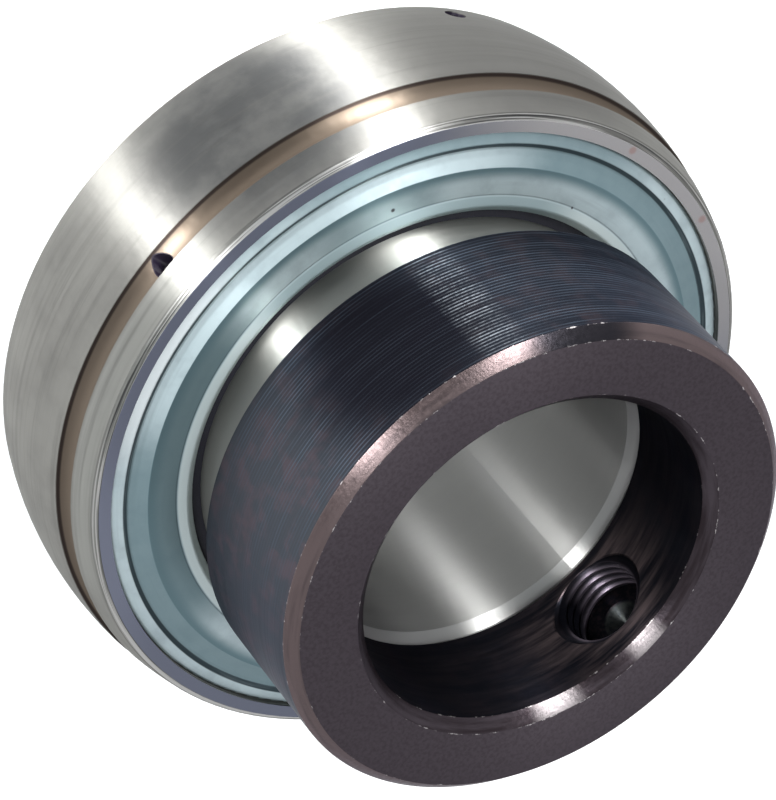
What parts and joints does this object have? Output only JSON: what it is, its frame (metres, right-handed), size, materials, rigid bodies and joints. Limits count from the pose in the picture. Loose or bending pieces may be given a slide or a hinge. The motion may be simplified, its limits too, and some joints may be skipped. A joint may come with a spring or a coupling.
{
  "type": "insert bearing",
  "caption": "Relubricable insert ball bearing with a spherical outer ring and an extended inner ring locked to the shaft by an eccentric collar with a set screw.",
  "frame": {"origin": "centre of the outer ring's sphere, on the shaft axis", "axes": "+Z along the shaft towards the locking collar, +X through the set screw at rest"},
  "size_m": [0.062, 0.062, 0.0474],
  "materials": {
    "ring_steel": "ground satin bearing steel",
    "ball_steel": "polished bearing steel",
    "cage_steel": "pressed sheet steel",
    "zinc_steel": "bright zinc plate with a pale blue cast",
    "black_oxide": "oiled black oxide over turned steel",
    "lip_rubber": "matt nitrile rubber"
  },
  "bodies": {
    "outer_ring": {"outer_ring": "ring_steel", "collar_side_shield": "zinc_steel", "collar_side_rubber_lip": "lip_rubber", "collar_side_backing_washer": "zinc_steel", "far_side_shield": "zinc_steel", "far_side_rubber_lip": "lip_rubber", "far_side_backing_washer": "zinc_steel"},
    "inner_ring": {"inner_ring": "ring_steel"},
    "cage": {"cage_collar_half": "cage_steel", "cage_far_half": "cage_steel", "cage_rivets": "cage_steel"},
    "ball_1": {"ball_1": "ball_steel"},
    "ball_2": {"ball_2": "ball_steel"},
    "ball_3": {"ball_3": "ball_steel"},
    "ball_4": {"ball_4": "ball_steel"},
    "ball_5": {"ball_5": "ball_steel"},
    "ball_6": {"ball_6": "ball_steel"},
    "ball_7": {"ball_7": "ball_steel"},
    "ball_8": {"ball_8": "ball_steel"},
    "ball_9": {"ball_9": "ball_steel"},
    "locking_collar": {"locking_collar": "black_oxide"},
    "set_screw": {"set_screw": "black_oxide"}
  },
  "joints": [
    {"name": "inner_ring_spin", "type": "hinge", "parent": "outer_ring", "child": "inner_ring", "pos_m": [0, 0, 0], "axis": [0, 0, 1], "continuous": true},
    {"name": "cage_spin", "type": "hinge", "parent": "outer_ring", "child": "cage", "pos_m": [0, 0, 0], "axis": [0, 0, 1], "continuous": true},
    {"name": "ball_1_roll", "type": "hinge", "parent": "cage", "child": "ball_1", "pos_m": [0.023, 0, 0], "axis": [0, 0, 1], "continuous": true},
    {"name": "ball_2_roll", "type": "hinge", "parent": "cage", "child": "ball_2", "pos_m": [0.01762, 0.01478, 0], "axis": [0, 0, 1], "continuous": true},
    {"name": "ball_3_roll", "type": "hinge", "parent": "cage", "child": "ball_3", "pos_m": [0.00399, 0.02265, 0], "axis": [0, 0, 1], "continuous": true},
    {"name": "ball_4_roll", "type": "hinge", "parent": "cage", "child": "ball_4", "pos_m": [-0.0115, 0.01992, 0], "axis": [0, 0, 1], "continuous": true},
    {"name": "ball_5_roll", "type": "hinge", "parent": "cage", "child": "ball_5", "pos_m": [-0.02161, 0.00787, 0], "axis": [0, 0, 1], "continuous": true},
    {"name": "ball_6_roll", "type": "hinge", "parent": "cage", "child": "ball_6", "pos_m": [-0.02161, -0.00787, 0], "axis": [0, 0, 1], "continuous": true},
    {"name": "ball_7_roll", "type": "hinge", "parent": "cage", "child": "ball_7", "pos_m": [-0.0115, -0.01992, 0], "axis": [0, 0, 1], "continuous": true},
    {"name": "ball_8_roll", "type": "hinge", "parent": "cage", "child": "ball_8", "pos_m": [0.00399, -0.02265, 0], "axis": [0, 0, 1], "continuous": true},
    {"name": "ball_9_roll", "type": "hinge", "parent": "cage", "child": "ball_9", "pos_m": [0.01762, -0.01478, 0], "axis": [0, 0, 1], "continuous": true},
    {"name": "collar_turn", "type": "hinge", "parent": "inner_ring", "child": "locking_collar", "pos_m": [0, 0, 0.0215], "axis": [0, 0, 1], "range_deg": [-13, 13]},
    {"name": "set_screw_travel", "type": "slide", "parent": "locking_collar", "child": "set_screw", "axis": [1, 0, 0], "range_m": [-0.004, 0.001]}
  ],
  "couplings": [
    {"joint": "cage_spin", "follows": "inner_ring_spin", "ratio": 0.39647},
    {"joint": "ball_1_roll", "follows": "inner_ring_spin", "ratio": -2.3112},
    {"joint": "ball_2_roll", "follows": "inner_ring_spin", "ratio": -2.3112},
    {"joint": "ball_3_roll", "follows": "inner_ring_spin", "ratio": -2.3112},
    {"joint": "ball_4_roll", "follows": "inner_ring_spin", "ratio": -2.3112},
    {"joint": "ball_5_roll", "follows": "inner_ring_spin", "ratio": -2.3112},
    {"joint": "ball_6_roll", "follows": "inner_ring_spin", "ratio": -2.3112},
    {"joint": "ball_7_roll", "follows": "inner_ring_spin", "ratio": -2.3112},
    {"joint": "ball_8_roll", "follows": "inner_ring_spin", "ratio": -2.3112},
    {"joint": "ball_9_roll", "follows": "inner_ring_spin", "ratio": -2.3112}
  ]
}
